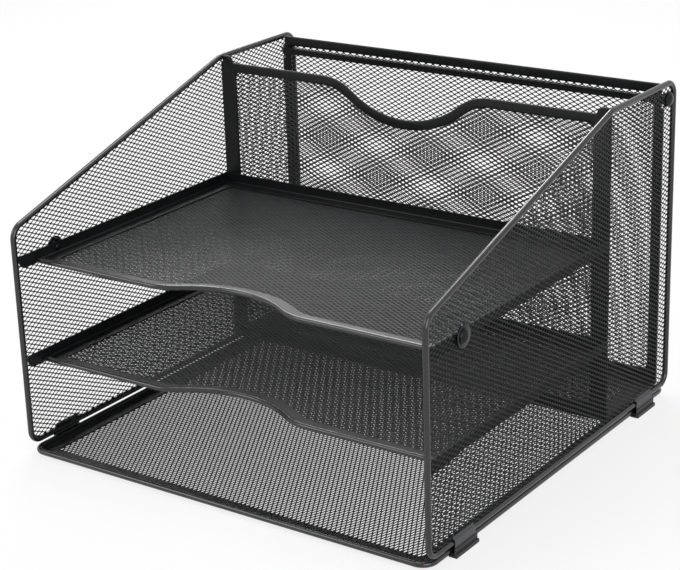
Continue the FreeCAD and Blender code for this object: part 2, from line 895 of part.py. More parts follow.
def screw(shank_length):
    """Round-headed screw along X, its head on the plane x = 0 and its shank inwards."""
    head_radius = head_diameter / 2
    shank_radius = shank_diameter / 2
    shank = round_disc(shank_radius, -shank_length, 0, shank_radius)
    edge = round_disc(head_radius, 0, head_edge_height, head_radius)
    crown = round_disc(head_radius, head_edge_height, head_height, crown_share * head_radius)
    return shank.fuse([edge, crown]).removeSplitter()


def ring(outline, hole_radius, thickness):
    """Flat ring along X, from x = 0 inwards."""
    face = Part.Face(outline).cut(Part.Face(flat_sided_hole(hole_radius, point(0, 0)))).Faces[0]
    return stand_along(slab(face, thickness), -thickness / 2)


def washer():
    """Plain washer along X, from x = 0 inwards."""
    hole_radius = shank_diameter / 2 + bore_clearance
    return ring(flat_sided_hole(washer_diameter / 2, point(0, 0)), hole_radius, washer_thickness)


def nut():
    """Hexagon nut along X, from x = 0 inwards, with a flat side down."""
    hexagon = flat_sided_circle(6, nut_across_flats / 2, point(0, 0), point(0, 1), point(-1, 0))
    return ring(hexagon, shank_diameter / 2 + thread_clearance, nut_thickness)


def pair(piece, x, y, z):
    """The piece at a place on the right side, together with its mirror image."""
    piece.translate(FreeCAD.Vector(x, y, z))
    return Part.makeCompound([piece, mirrored(piece)])


pieces = {
    "right_side_rod": side_rod(),
    "left_side_rod": mirrored(side_rod()),
    "right_side_mesh": side_mesh(),
    "left_side_mesh": mirrored(side_mesh()),
    "divider_frame": divider_frame(),
    "divider_mesh": divider_mesh(),
    "back_frame": back_frame(),
    "back_mesh": back_mesh(),
    "back_cross_bar": cross_bar(),
    "top_tray_frame": tray_frame(top_tray_z, True),
    "top_tray_front_wire": tray_front_wire(top_tray_z),
    "top_tray_mesh": tray_mesh(top_tray_z),
    "middle_tray_frame": tray_frame(middle_tray_z, False),
    "middle_tray_front_wire": tray_front_wire(middle_tray_z),
    "middle_tray_mesh": tray_mesh(middle_tray_z),
    "rear_floor_frame": rear_floor_frame(),
    "rear_floor_mesh": rear_floor_mesh(),
    "drawer_rim_wire": drawer_rim(),
    "drawer_pan": drawer_pan(),
    "drawer_mesh": drawer_mesh(),
    "front_right_clip": clip(front_clip_y),
    "rear_right_clip": clip(rear_clip_y),
    "front_left_clip": mirrored(clip(front_clip_y)),
    "rear_left_clip": mirrored(clip(rear_clip_y)),
    "front_right_foot": foot(front_clip_y),
    "rear_right_foot": foot(rear_clip_y),
    "front_left_foot": mirrored(foot(front_clip_y)),
    "rear_left_foot": mirrored(foot(rear_clip_y)),
    "tray_screws": pair(
        screw(tray_screw_length), outer_face_x + washer_thickness, tray_screw_y, tray_screw_z
    ),
    "tray_screw_washers": pair(
        washer(), outer_face_x + washer_thickness, tray_screw_y, tray_screw_z
    ),
    "cross_bar_screws": pair(screw(tab_screw_length), outer_face_x, tab_screw_y, tab_screw_z),
    "cross_bar_nuts": pair(nut(), nut_x, tab_screw_y, tab_screw_z),
}

os.makedirs("parts", exist_ok=True)
for name, shape in pieces.items():
    shape.exportStep("parts/" + name + ".step")
    print(name, "solids", len(shape.Solids), "valid", shape.isValid(), "volume", round(shape.Volume))
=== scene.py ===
"""Looks of the envelope sorter with a drawer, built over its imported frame.

Sizes in the classes are millimetres in the row's frame: +X right, the open front faces -Y,
+Z up, the table at 0. A field that ends in rise is measured up from the bottom rail.
"""

import logging
import math
from collections.abc import Iterable
from dataclasses import dataclass, field
from enum import Enum

import bpy
import numpy as np
from mathutils import Matrix, Vector
from mathutils.geometry import tessellate_polygon

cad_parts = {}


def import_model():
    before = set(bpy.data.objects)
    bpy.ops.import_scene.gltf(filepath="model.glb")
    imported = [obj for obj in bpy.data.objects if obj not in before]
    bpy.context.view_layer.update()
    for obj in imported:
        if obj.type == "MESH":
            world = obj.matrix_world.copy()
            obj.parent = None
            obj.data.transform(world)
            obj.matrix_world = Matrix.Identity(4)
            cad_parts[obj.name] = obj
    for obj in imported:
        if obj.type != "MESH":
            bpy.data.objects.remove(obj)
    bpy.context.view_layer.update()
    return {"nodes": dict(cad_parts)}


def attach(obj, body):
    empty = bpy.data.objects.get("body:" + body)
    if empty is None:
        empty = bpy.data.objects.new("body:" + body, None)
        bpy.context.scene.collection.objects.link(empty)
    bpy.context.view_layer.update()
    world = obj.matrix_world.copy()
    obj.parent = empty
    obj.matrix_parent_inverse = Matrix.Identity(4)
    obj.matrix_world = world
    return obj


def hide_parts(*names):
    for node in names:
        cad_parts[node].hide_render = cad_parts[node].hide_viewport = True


log = logging.getLogger("envelope_sorter")

MM = 0.001
ARC_STEP = math.radians(7.5)
FEWEST_ARC_STEPS = 2
# Flat points closer than this, in millimetres, count as one
SAME_POINT = 1e-4
# Edges of rods blunter than this, in degrees, are shaded smooth
ROUND_EDGE = 60.0
# Steps round a plate's rounded edge, and rays that look for a bevelled one
EDGE_STEPS = 3
EDGE_SAMPLES = 6
WHITE = (1.0, 1.0, 1.0, 1.0)

FRAME_SPAN = 316.0
FRAME_DEPTH = 311.0
FRONT_Y = -FRAME_DEPTH / 2
ROD_RADIUS = 2.0
BOTTOM_RAIL_Z = 9.0
RAIL_RISE = 218.0
NET_THICKNESS = 0.9
SHEET = 0.8
HEM = 1.8
INNER_FACE_X = FRAME_SPAN / 2 - NET_THICKNESS / 2
OUTER_FACE_X = FRAME_SPAN / 2 + NET_THICKNESS / 2
DIVIDER_Y = FRONT_Y + 223.0
BACK_Y = FRONT_Y + 298.0
DRAWER_Z = 3.9
TOP_TRAY_RISE = 123.8
MIDDLE_TRAY_RISE = 54.0
NET_LEAN = math.radians(25)
LEFT_NET_TURN = math.radians(4.2)


class Side(Enum):
    """The two side frames, as the sign of their X."""

    LEFT = -1
    RIGHT = 1


class Body(Enum):
    """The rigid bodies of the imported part."""

    FRAME = "frame"
    DRAWER = "drawer"


class Lie(Enum):
    """How a flat outline stands in the part: its two axes, then the way its face looks."""

    LEVEL = ((1, 0, 0), (0, 1, 0), (0, 0, 1))
    LEVEL_TURNED = ((0, 1, 0), (-1, 0, 0), (0, 0, 1))
    FACING_FRONT = ((1, 0, 0), (0, 0, 1), (0, -1, 0))
    FACING_RIGHT = ((0, 1, 0), (0, 0, 1), (1, 0, 0))


# Flat outlines


def rounded_path(corners: list, radii: list, closed: bool = True) -> np.ndarray:
    """Straight runs through flat corners with a tangent arc at each.

    Args:
        corners: the sharp corners, as pairs.
        radii: the arc radius at each corner, 0 for a sharp one.
        closed: whether the last corner joins the first.

    Returns:
        The points of the path, n by 2.
    """
    points = []
    for i, radius in enumerate(radii):
        corner = np.array(corners[i], float)
        if radius <= 0:
            points.append(corner)
            continue
        back = np.array(corners[i - 1], float) - corner
        ahead = np.array(corners[(i + 1) % len(corners)], float) - corner
        back /= np.linalg.norm(back)
        ahead /= np.linalg.norm(ahead)
        half = math.acos(float(np.clip(back @ ahead, -1, 1))) / 2
        middle = (back + ahead) / np.linalg.norm(back + ahead)
        centre = corner + middle * radius / math.sin(half)
        start = corner + back * radius / math.tan(half) - centre
        end = corner + ahead * radius / math.tan(half) - centre
        first = math.atan2(start[1], start[0])
        sweep = (math.atan2(end[1], end[0]) - first + math.pi) % (2 * math.pi) - math.pi
        steps = max(FEWEST_ARC_STEPS, math.ceil(abs(sweep) / ARC_STEP))
        for k in range(steps + 1):
            angle = first + sweep * k / steps
            points.append(centre + radius * np.array([math.cos(angle), math.sin(angle)]))
    kept = [points[0]]
    for candidate in points[1:]:
        if np.linalg.norm(candidate - kept[-1]) > SAME_POINT:
            kept.append(candidate)
    if closed and np.linalg.norm(kept[0] - kept[-1]) < SAME_POINT:
        kept.pop()
    return np.array(kept)


def inset_corners(corners: list, distance: float) -> list:
    """Corners of a closed outline moved to its inside, where it runs anticlockwise.

    Args:
        corners: the sharp corners, as pairs.
        distance: how far each side moves to its left.

    Returns:
        The moved corners, as arrays.
    """
    count = len(corners)
    points = [np.array(c, float) for c in corners]
    normals = []
    for i in range(count):
        along = points[(i + 1) % count] - points[i]
        along /= np.linalg.norm(along)
        normals.append(np.array([-along[1], along[0]]))
    moved = []
    for i in range(count):
        before, after = normals[i - 1], normals[i]
        moved.append(points[i] + (before + after) * distance / (1 + before @ after))
    return moved


def box_corners(half: float, low: float, high: float) -> list:
    """Corners of a box about the middle line, anticlockwise from the lower left."""
    return [(-half, low), (half, low), (half, high), (-half, high)]


@dataclass(frozen=True)
class Scoop:
    """Finger scoop in a straight edge.

    Its half width is where a shoulder leaves the edge, its depth the drop of the bottom arc,
    and its shoulder the radius of the two shoulder arcs.
    """

    half_width: float
    depth: float
    shoulder: float

    def path(self, edge: float, way: int, inset: float = 0.0) -> tuple[list, list]:
        """The scoop as a stretch of an anticlockwise outline.

        Args:
            edge: height of the straight edge.
            way: 1 where it cuts upwards into a lower edge, -1 downwards into an upper one.
            inset: how far the outline runs inside the panel's own.

        Returns:
            The three corners and their radii.
        """
        reach = (self.half_width**2 + self.depth**2) / (2 * self.depth)
        slope = math.asin(self.half_width / reach)
        shoulder = self.shoulder - inset
        x = way * (self.half_width - shoulder * math.tan(slope / 2))
        corners = [(-x, edge), (0.0, edge + x * math.tan(slope)), (x, edge)]
        return corners, [shoulder, reach - shoulder, shoulder]


def circle_path(radius: float, steps: int = 48) -> np.ndarray:
    """Points of a full circle about the origin, anticlockwise."""
    angles = np.arange(steps) * 2 * math.pi / steps
    return np.stack([np.cos(angles), np.sin(angles)], 1) * radius


def inside(points: np.ndarray, outline: np.ndarray) -> np.ndarray:
    """Which of the flat points lie inside a closed outline."""
    result = np.zeros(len(points), bool)
    x, y = points[:, 0], points[:, 1]
    x0, y0 = outline[:, 0], outline[:, 1]
    x1, y1 = np.roll(x0, -1), np.roll(y0, -1)
    for ax, ay, bx, by in zip(x0, y0, x1, y1):
        if ay == by:
            continue
        crosses = ((ay > y) != (by > y)) & (x < (bx - ax) * (y - ay) / (by - ay) + ax)
        result ^= crosses
    return result


# Meshes


@dataclass
class Shape:
    """Corners and faces of a mesh in millimetres, before it becomes an object."""

    corners: np.ndarray
    faces: list

    def placed(self, lie: Lie, offset: float) -> "Shape":
        """The shape turned from its flat axes into the part, at an offset along its face."""
        u, v, n = (np.array(axis, float) for axis in lie.value)
        c = self.corners
        turned = c[:, :1] * u + c[:, 1:2] * v + (c[:, 2:3] + offset) * n
        return Shape(turned, self.faces)

    def moved(self, x: float, y: float, z: float) -> "Shape":
        """The shape moved by x, y and z."""
        return Shape(self.corners + np.array([x, y, z], float), self.faces)

    def on_side(self, side: Side) -> "Shape":
        """The shape on its side: as it is on the right, or mirrored on the left."""
        if side is Side.RIGHT:
            return self
        flipped = [tuple(reversed(face)) for face in self.faces]
        return Shape(self.corners * np.array([-1.0, 1.0, 1.0]), flipped)

    def joined(self, other: "Shape") -> "Shape":
        """This shape and another as one."""
        count = len(self.corners)
        faces = list(self.faces) + [tuple(i + count for i in face) for face in other.faces]
        return Shape(np.vstack([self.corners, other.corners]), faces)


def loft(rings: list, closed_path: bool, caps: bool = True) -> Shape:
    """Skin over rings of equal count, each an n by 3 array.

    Args:
        rings: the rings along the path.
        closed_path: whether the last ring joins the first.
        caps: whether open ends get a flat face.

    Returns:
        The skin as a shape.
    """
    size = len(rings[0])
    count = len(rings)
    faces = []
    last = count if closed_path else count - 1
    for i in range(last):
        a, b = i * size, (i + 1) % count * size
        for k in range(size):
            m = (k + 1) % size
            faces.append((a + k, a + m, b + m, b + k))
    if not closed_path and caps:
        faces.append(tuple(reversed(range(size))))
        faces.append(tuple(range((count - 1) * size, count * size)))
    return Shape(np.vstack(rings), faces)


def round_rod(path: np.ndarray, radius: float, closed: bool, sides: int = 20) -> Shape:
    """Round rod along a flat path.

    Args:
        path: centreline, n by 2.
        radius: of the rod.
        closed: whether the rod is a loop.
        sides: faces round the section.

    Returns:
        The rod, lying in its flat axes.
    """
    ahead = np.roll(path, -1, 0) - path
    ahead /= np.linalg.norm(ahead, axis=1)[:, None]
    behind = np.roll(ahead, 1, 0)
    if not closed:
        ahead[-1] = behind[-1]
        behind[0] = ahead[0]
    mean = ahead + behind
    mean /= np.linalg.norm(mean, axis=1)[:, None]
    across = np.stack([mean[:, 1], -mean[:, 0]], 1)
    stretch = 1 / np.sum(mean * ahead, 1)
    angles = np.arange(sides) * 2 * math.pi / sides
    rings = []
    for centre, side_way, wide in zip(path, across, stretch):
        flat = centre + np.outer(np.cos(angles) * radius * wide, side_way)
        rings.append(np.column_stack([flat, np.sin(angles) * radius]))
    return loft(rings, closed)


def turned_profile(profile: list, sides: int = 40) -> Shape:
    """Solid of revolution about X.

    Args:
        profile: pairs of place along X and radius, ending on the axis at both ends.
        sides: faces round the axis.

    Returns:
        The turned shape.
    """
    angles = np.arange(sides) * 2 * math.pi / sides
    rings = []
    for x, radius in profile:
        ring = [np.full(sides, x), np.cos(angles) * radius, np.sin(angles) * radius]
        rings.append(np.column_stack(ring))
    return loft(rings, False, caps=profile[0][1] > 0)


def plate(outer: np.ndarray, holes: list, thickness: float, rounding: float) -> Shape:
    """Flat plate with holes and rounded edges.

    Args:
        outer: outline, anticlockwise.
        holes: outlines of its openings, anticlockwise too.
        thickness: of the plate, half to each side of its plane.
        rounding: radius of every edge.

    Returns:
        The plate in its flat axes.
    """
    half = thickness / 2
    upper = []
    for k in reversed(range(EDGE_STEPS + 1)):
        angle = math.pi / 2 * k / EDGE_STEPS
        upper.append((rounding * (1 - math.cos(angle)), half - rounding * (1 - math.sin(angle))))
    profile = upper + [(inset, -z) for inset, z in reversed(upper)]
    corners, faces, start = [], [], 0
    rims = {1: [], -1: []}
    for loop, sign in [(outer, 1)] + [(hole, -1) for hole in holes]:
        loop = loop if sign == 1 else loop[::-1]
        rings = []
        for inset, z in profile:
            moved = np.array(inset_corners(list(loop), inset))
            rings.append(np.column_stack([moved, np.full(len(moved), z)]))
        band = loft(rings, False, caps=False)
        corners.append(band.corners)
        faces += [tuple(reversed([i + start for i in face])) for face in band.faces]
        size = len(loop)
        rims[1].append((start, rings[0]))
        rims[-1].append((start + (len(rings) - 1) * size, rings[-1]))
        start += len(band.corners)
    for sign, loops in rims.items():
        index = [first + i for first, ring in loops for i in range(len(ring))]
        flat = [[Vector((p[0], p[1], 0)) for p in ring] for _, ring in loops]
        points = [p for loop in flat for p in loop]
        for triangle in tessellate_polygon(flat):
            a, b, c = (points[i] for i in triangle)
            upward = (b - a).cross(c - a).z > 0
            face = tuple(index[i] for i in triangle)
            faces.append(face if upward == (sign == 1) else tuple(reversed(face)))
    return Shape(np.vstack(corners), faces)


# Expanded metal


@dataclass(frozen=True)
class ExpandedMetal:
    """Raised expanded steel: zigzag strips, each bonded to the next at its peaks.

    The strips lean by the lean angle, so a strip's peak lies below the face and the valley
    of the next strip above it, as slitting and stretching leaves them. The turn is the
    angle at which the panel was cut from its sheet.
    """

    long_way: float = 6.0
    short_way: float = 3.3
    turn: float = 0.0
    strip_width: float = 0.62
    strip_thickness: float = 0.40
    bond_length: float = 1.8
    lean: float = NET_LEAN
    cut_halvings: int = 14
    spare: int = 2

    def strands(self, low: np.ndarray, high: np.ndarray) -> tuple[np.ndarray, np.ndarray]:
        """Both ends of every strand that covers a box.

        Args:
            low: lowest corner of the box in the panel.
            high: highest corner.

        Returns:
            The starts and the ends, each n by 3: along the long way, the short way and out.
        """
        row_height = self.short_way / 2
        middle = (low + high) / 2
        columns, rows = self.cover(low, high)
        k = np.arange(-columns, columns)
        rise = self.strip_width * math.cos(self.lean) / 2
        out = self.strip_width * math.sin(self.lean) / 2
        starts, ends = [], []
        for row in range(-rows, rows):
            base = row * row_height
            for points, step in ((starts, 0), (ends, 1)):
                at_valley = (k + step) % 2 == row % 2
                x = (k + step) * self.long_way / 2
                y = np.where(at_valley, base + rise, base + row_height - rise)
                z = np.where(at_valley, out, -out)
                points.append(np.stack([x, y, z], 1) @ self.turned().T + [*middle, 0])
        return np.vstack(starts), np.vstack(ends)

    def cover(self, low: np.ndarray, high: np.ndarray) -> tuple[int, int]:
        """Half the columns and rows that cover a box, also when the net is turned."""
        reach = np.linalg.norm(high - low) if self.turn else high - low
        across, up = np.broadcast_to(reach, 2) / (self.long_way, self.short_way)
        return math.ceil(across) + self.spare, math.ceil(up) + self.spare

    def knots(self, low: np.ndarray, high: np.ndarray) -> np.ndarray:
        """Middles of the bonds between rows that cover a box, n by 3."""
        columns, rows = self.cover(low, high)
        k, row = np.meshgrid(np.arange(-columns, columns), np.arange(-rows, rows))
        k, row = k.ravel(), row.ravel()
        bonded = (k + row) % 2 == 0
        x = k[bonded] * self.long_way / 2
        y = row[bonded] * self.short_way / 2
        places = np.stack([x, y, np.zeros(len(x))], 1)
        return places @ self.turned().T + [*((low + high) / 2), 0]

    def turned(self) -> np.ndarray:
        """The turn in the panel's plane, as a matrix."""
        c, s = math.cos(self.turn), math.sin(self.turn)
        return np.array([[c, -s, 0], [s, c, 0], [0, 0, 1.0]])

    def panel(self, outline: np.ndarray) -> tuple[np.ndarray, np.ndarray]:
        """The net cut to an outline.

        Args:
            outline: closed outline in the panel's long and short way.

        Returns:
            Corners n by 3, and quads m by 4.
        """
        start, end = self.strands(outline.min(0), outline.max(0))
        kept = np.stack([inside(points[:, :2], outline) for points in (start, end)])
        touched = kept.any(0)
        start, end, kept = start[touched], end[touched], kept[:, touched]
        for near, far, cut in ((start, end, kept[0] & ~kept[1]), (end, start, kept[1] & ~kept[0])):
            root, run = near[cut], far[cut] - near[cut]
            low, high = np.zeros(len(root)), np.ones(len(root))
            for _ in range(self.cut_halvings):
                half = (low + high) / 2
                is_in = inside((root + run * half[:, None])[:, :2], outline)
                low, high = np.where(is_in, half, low), np.where(is_in, high, half)
            far[cut] = root + run * low[:, None]
        whole = kept.all(0)
        along = self.turned() @ np.array([self.bond_length / 2, 0, 0])
        knots = self.knots(outline.min(0), outline.max(0))
        knots = knots[inside(knots[:, :2], outline)]
        corners, quads, count = [], [], 0
        for bars, bar_quads in (
            self.bars(start[whole], end[whole], 1, False),
            self.bars(start[~whole], end[~whole], 1, True),
            self.bars(knots - along, knots + along, 2, True),
        ):
            corners.append(bars)
            quads.append(bar_quads + count)
            count += len(bars)
        return np.vstack(corners), np.vstack(quads)

    def bars(
        self, start: np.ndarray, end: np.ndarray, strips: int, capped: bool
    ) -> tuple[np.ndarray, np.ndarray]:
        """Flat leaning bars.

        Args:
            start: one end of each bar, n by 3.
            end: the other end.
            strips: how many strips wide the bar is.
            capped: whether its ends are closed; a strand's ends lie inside the bonds.

        Returns:
            Corners, and quads of them.
        """
        rise, out = math.cos(self.lean), math.sin(self.lean)
        across = self.turned() @ np.array([0, rise, out]) * self.strip_width / 2 * strips
        through = self.turned() @ np.array([0, -out, rise]) * self.strip_thickness / 2
        section = [-across - through, across - through, across + through, -across + through]
        corners = np.stack([start + s for s in section] + [end + s for s in section], 1)
        sides = [[i, (i + 1) % 4, (i + 1) % 4 + 4, i + 4] for i in range(4)]
        if capped:
            sides += [[3, 2, 1, 0], [4, 5, 6, 7]]
        base = np.arange(len(start))[:, None, None] * 8
        quads = (base + np.array([sides])).reshape(-1, 4)[:, ::-1]
        return corners.reshape(-1, 3), quads


# Finishes


@dataclass(frozen=True)
class Coat:
    """A built material and the record's slot that it stands for."""

    material: bpy.types.Material
    slot: str


def linear(hex_colour: str) -> tuple[float, float, float, float]:
    """Scene-linear colour of an sRGB hex value such as #1a1b1d."""
    values = []
    for i in (1, 3, 5):
        c = int(hex_colour[i : i + 2], 16) / 255
        values.append(c / 12.92 if c <= 0.04045 else ((c + 0.055) / 1.055) ** 2.4)
    return values[0], values[1], values[2], 1.0


def add_node(
    tree: bpy.types.NodeTree, kind: str, inputs: dict, stops: Iterable = (), **settings
) -> bpy.types.Node:
    """Adds a node with its settings, values and links.

    Args:
        tree: where it goes.
        kind: its type name.
        inputs: socket name or number to a value, or to an output socket to link.
        stops: a place and an sRGB hex colour for each stop of a colour ramp.
        settings: attributes of the node.

    Returns:
        The node.
    """
    node = tree.nodes.new(kind)
    for key, value in settings.items():
        setattr(node, key, value)
    for i, (start, colour) in enumerate(stops):
        node.color_ramp.elements[i].position = start
        node.color_ramp.elements[i].color = linear(colour)
    for key, value in inputs.items():
        if isinstance(value, bpy.types.NodeSocket):
            tree.links.new(value, node.inputs[key])
        else:
            node.inputs[key].default_value = value
    return node


def empty_material(name: str) -> bpy.types.Material:
    """A material whose node tree is still empty."""
    material = bpy.data.materials.new(name)
    material.use_nodes = True
    material.node_tree.nodes.clear()
    return material


def relief(
    tree: bpy.types.NodeTree,
    height: bpy.types.NodeSocket,
    strength: float,
    depth_mm: float,
    edge_mm: float,
) -> bpy.types.NodeSocket:
    """Normal of a surface with a pattern pressed into it.

    Args:
        tree: where its nodes go.
        height: the pattern.
        strength: how much of the pattern shows.
        depth_mm: its depth.
        edge_mm: radius that softens the edges, 0 for none.

    Returns:
        The normal's socket.
    """
    inputs = {"Height": height, "Strength": strength, "Distance": depth_mm * MM}
    if edge_mm:
        edge = add_node(tree, "ShaderNodeBevel", {"Radius": edge_mm * MM}, samples=EDGE_SAMPLES)
        inputs["Normal"] = edge.outputs["Normal"]
    return add_node(tree, "ShaderNodeBump", inputs).outputs["Normal"]


@dataclass(frozen=True)
class Finish:
    """What every finish shares: a name, and patterns that lie in the part's own space."""

    name: str

    def surface(self, tree: bpy.types.NodeTree, place: bpy.types.NodeSocket) -> dict:
        """Adds the patterns at their place, and gives the surface shader's inputs."""
        raise NotImplementedError

    def build(self) -> bpy.types.Material:
        """The material."""
        material = empty_material(self.name)
        tree = material.node_tree
        place = add_node(tree, "ShaderNodeTexCoord", {}).outputs["Object"]
        shader = add_node(tree, "ShaderNodeBsdfPrincipled", self.surface(tree, place))
        add_node(tree, "ShaderNodeOutputMaterial", {"Surface": shader.outputs["BSDF"]})
        return material


@dataclass(frozen=True)
class PowderCoat(Finish):
    """Sprayed and baked polyester powder on steel: even, satin, with a fine orange peel.

    The baked powder flows into soft waves about a millimetre wide and pools thinner on
    edges, so the gloss breaks up along them, and it holds a trace of dust.
    """

    colour: str
    dusty: str
    roughness: float = 0.40
    spread: float = 0.12
    peel_mm: float = 1.1
    peel_depth_mm: float = 0.03
    peel_strength: float = 0.6
    peel_detail: float = 2.0
    cloud_mm: float = 26.0
    cloud_detail: float = 4.0
    dust_range: tuple = (0.35, 0.72)
    gloss_range: tuple = (0.3, 0.7)
    index: float = 1.40
    edge_mm: float = 0.0

    def surface(self, tree: bpy.types.NodeTree, place: bpy.types.NodeSocket) -> dict:
        """Adds the dust, the uneven gloss and the orange peel."""
        clouds = {"Vector": place, "Scale": 1 / (self.cloud_mm * MM), "Detail": self.cloud_detail}
        cloud = add_node(tree, "ShaderNodeTexNoise", clouds).outputs["Fac"]
        stops = zip(self.dust_range, (self.colour, self.dusty))
        tint = add_node(tree, "ShaderNodeValToRGB", {"Fac": cloud}, stops)
        waves = {"Vector": place, "Scale": 1 / (self.peel_mm * MM), "Detail": self.peel_detail}
        peel = add_node(tree, "ShaderNodeTexNoise", waves).outputs["Fac"]
        gloss = {
            "Value": cloud,
            "From Min": self.gloss_range[0],
            "From Max": self.gloss_range[1],
            "To Min": self.roughness - self.spread / 2,
            "To Max": self.roughness + self.spread / 2,
        }
        return {
            "Base Color": tint.outputs["Color"],
            "Roughness": add_node(tree, "ShaderNodeMapRange", gloss).outputs["Result"],
            "Normal": relief(tree, peel, self.peel_strength, self.peel_depth_mm, self.edge_mm),
            "IOR": self.index,
        }


@dataclass(frozen=True)
class MouldedRubber(Finish):
    """Black nitrile rubber from a spark-eroded mould: matt, with a fine even grain."""

    name: str = "nitrile_rubber_moulded"
    colour: str = "#101010"
    worn: str = "#1b1b1b"
    roughness: float = 0.5
    index: float = 1.52
    grain_mm: float = 0.5
    grain_depth_mm: float = 0.05
    grain_strength: float = 0.4
    edge_mm: float = 0.6

    def surface(self, tree: bpy.types.NodeTree, place: bpy.types.NodeSocket) -> dict:
        """Adds the grain."""
        cells = {"Vector": place, "Scale": 1 / (self.grain_mm * MM)}
        grain = add_node(tree, "ShaderNodeTexVoronoi", cells).outputs["Distance"]
        stops = ((0.0, self.colour), (1.0, self.worn))
        return {
            "Base Color": add_node(tree, "ShaderNodeValToRGB", {"Fac": grain}, stops).outputs[0],
            "Roughness": self.roughness,
            "Normal": relief(tree, grain, self.grain_strength, self.grain_depth_mm, self.edge_mm),
            "IOR": self.index,
        }


@dataclass(frozen=True)
class BlackZinc(Finish):
    """Steel screws, tumbled, zinc plated and blackened: glossy, with fine handling marks."""

    name: str = "steel_black_zinc_plated"
    colour: str = "#1d1e20"
    worn: str = "#4a4b4e"
    metallic: float = 0.85
    roughness: float = 0.17
    scratch_mm: float = 0.7
    scratch_detail: float = 3.0
    swirl: float = 1.5
    wear_range: tuple = (0.5, 0.8)

    def surface(self, tree: bpy.types.NodeTree, place: bpy.types.NodeSocket) -> dict:
        """Adds the handling marks."""
        scratches = {
            "Vector": place,
            "Scale": 1 / (self.scratch_mm * MM),
            "Detail": self.scratch_detail,
            "Distortion": self.swirl,
        }
        marks = add_node(tree, "ShaderNodeTexNoise", scratches).outputs["Fac"]
        stops = zip(self.wear_range, (self.colour, self.worn))
        return {
            "Base Color": add_node(tree, "ShaderNodeValToRGB", {"Fac": marks}, stops).outputs[0],
            "Metallic": self.metallic,
            "Roughness": self.roughness,
        }


@dataclass
class Finishes:
    """Every coat of the part, built once."""

    rod: Coat = field(init=False)
    net: Coat = field(init=False)
    sheet: Coat = field(init=False)
    clip: Coat = field(init=False)
    rubber: Coat = field(init=False)
    plated: Coat = field(init=False)

    def __post_init__(self) -> None:
        """Builds the materials from their finishes."""
        # A drawn steel rod under powder stays smooth, so it gives the narrowest highlights
        name = "drawn_steel_rod_powder_coated"
        rod = PowderCoat(name, "#101112", "#18191b", 0.17, 0.06, index=1.58)
        self.rod = Coat(rod.build(), "rod_steel")
        # Powder builds up on the net's narrow strands and rounds them, so it looks softer
        name = "expanded_steel_powder_coated"
        net = PowderCoat(name, "#141517", "#1d1e21", 0.40, peel_mm=0.8)
        self.net = Coat(net.build(), "mesh_steel")
        # Pressed sheet keeps broad flat faces, where the orange peel shows most, and the
        # powder softens its edges
        name = "pressed_steel_sheet_powder_coated"
        sheet = PowderCoat(name, "#0f1011", "#17181a", 0.36, index=1.32, edge_mm=0.45)
        self.sheet = Coat(sheet.build(), "sheet_steel")
        # The clips took a thinner, greyer and flatter coat
        name = "pressed_steel_clip_powder_coated"
        clip = PowderCoat(name, "#47484b", "#525356", 0.5, edge_mm=0.3)
        self.clip = Coat(clip.build(), "clip_steel")
        self.rubber = Coat(MouldedRubber().build(), "foot_rubber")
        self.plated = Coat(BlackZinc().build(), "fastener_steel")


# Pieces


@dataclass
class Maker:
    """Turns shapes into coated pieces that ride on the part's bodies."""

    finishes: Finishes

    def piece(
        self,
        name: str,
        shape: Shape,
        coat: Coat,
        body: Body,
        replaced: tuple,
        smooth_angle: float = 40.0,
    ) -> None:
        """Makes one piece.

        Args:
            name: of the object.
            shape: its corners and faces in millimetres.
            coat: its material and slot.
            body: what it rides on.
            replaced: CAD nodes that it stands for.
            smooth_angle: edges blunter than this, in degrees, are shaded smooth.
        """
        mesh = bpy.data.meshes.new(name)
        mesh.from_pydata((shape.corners * MM).tolist(), [], [tuple(f) for f in shape.faces])
        mesh.shade_smooth()
        mesh.set_sharp_from_angle(angle=math.radians(smooth_angle))
        self.hand_over(name, mesh, coat, body, replaced)

    def net(
        self,
        node: str,
        outline: np.ndarray,
        lie: Lie,
        offset: float,
        body: Body = Body.FRAME,
        side: Side = Side.RIGHT,
        metal: ExpandedMetal = ExpandedMetal(),
    ) -> None:
        """Makes a panel of expanded metal, with its flat place as its UV map.

        Args:
            node: the CAD node that it stands for.
            outline: in the panel's long and short way.
            lie: how the panel stands.
            offset: of its middle along its face.
            body: what it rides on.
            side: mirrored where left.
            metal: the pattern.
        """
        corners, quads = metal.panel(outline)
        shape = Shape(corners, []).placed(lie, offset).on_side(side)
        if side is Side.LEFT:
            quads = quads[:, ::-1]
        mesh = bpy.data.meshes.new(node + "_net")
        mesh.vertices.add(len(corners))
        mesh.vertices.foreach_set("co", (shape.corners * MM).astype(np.float32).ravel())
        mesh.loops.add(quads.size)
        mesh.loops.foreach_set("vertex_index", quads.astype(np.int32).ravel())
        mesh.polygons.add(len(quads))
        mesh.polygons.foreach_set("loop_start", np.arange(0, quads.size, 4, dtype=np.int32))
        mesh.update(calc_edges=True)
        flat = corners[:, :2]
        low, high = flat.min(0), flat.max(0)
        uv = (flat - low) / (high - low).max()
        layer = mesh.uv_layers.new(name="OFBake")
        layer.data.foreach_set("uv", uv[quads.ravel()].astype(np.float32).ravel())
        self.hand_over(node + "_net", mesh, self.finishes.net, body, (node,))

    def hand_over(
        self, name: str, mesh: bpy.types.Mesh, coat: Coat, body: Body, replaced: tuple
    ) -> None:
        """Links a mesh as a coated piece on its body, and reports it."""
        mesh.materials.append(coat.material)
        piece = bpy.data.objects.new(name, mesh)
        bpy.context.scene.collection.objects.link(piece)
        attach(piece, body.value)
        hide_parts(*replaced)
        log.info("%s: %d faces on %s", name, len(mesh.polygons), body.value)


# Sub-assemblies


